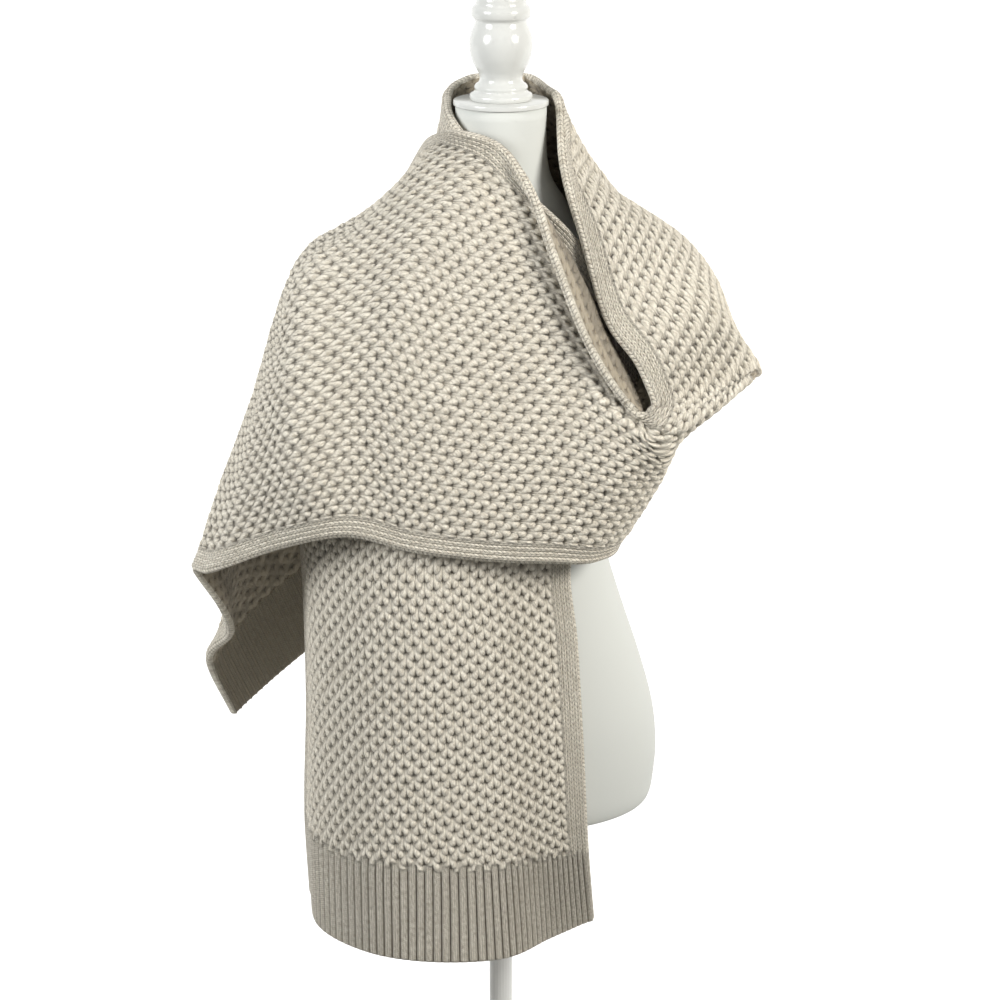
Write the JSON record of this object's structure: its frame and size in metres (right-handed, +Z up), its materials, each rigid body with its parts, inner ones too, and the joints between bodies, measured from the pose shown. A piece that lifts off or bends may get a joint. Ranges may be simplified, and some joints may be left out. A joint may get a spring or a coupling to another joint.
{
  "type": "knit scarf on dress form",
  "caption": "Long chunky knit scarf with ribbed hems, wrapped over both shoulders of a limbless dress form with a turned neck finial, on a pole and a round base.",
  "frame": {"origin": "centre of the underside of the stand's round base, on the floor", "axes": "+Z up along the pole, -Y the way the form faces, +X to the right of someone who looks at its front"},
  "size_m": [0.5817, 0.3459, 1.37],
  "materials": {
    "wool_knit": "chunky heathered wool knit",
    "jersey_cover": "smooth stretch jersey",
    "painted_wood": "turned wood with white gloss paint",
    "painted_steel": "white powder coat"
  },
  "bodies": {
    "root": {"front_rib_hem": "wool_knit", "front_panel": "wool_knit", "left_shoulder_under": "wool_knit", "back_stretch": "wool_knit", "right_collar": "wool_knit", "right_fold": "wool_knit", "chest_wrap": "wool_knit", "left_cape": "wool_knit", "back_rib_hem": "wool_knit", "torso": "jersey_cover", "neck_cap": "painted_wood", "finial": "painted_wood", "bottom_flange": "painted_steel", "pole": "painted_steel", "base": "painted_steel"}
  },
  "joints": []
}
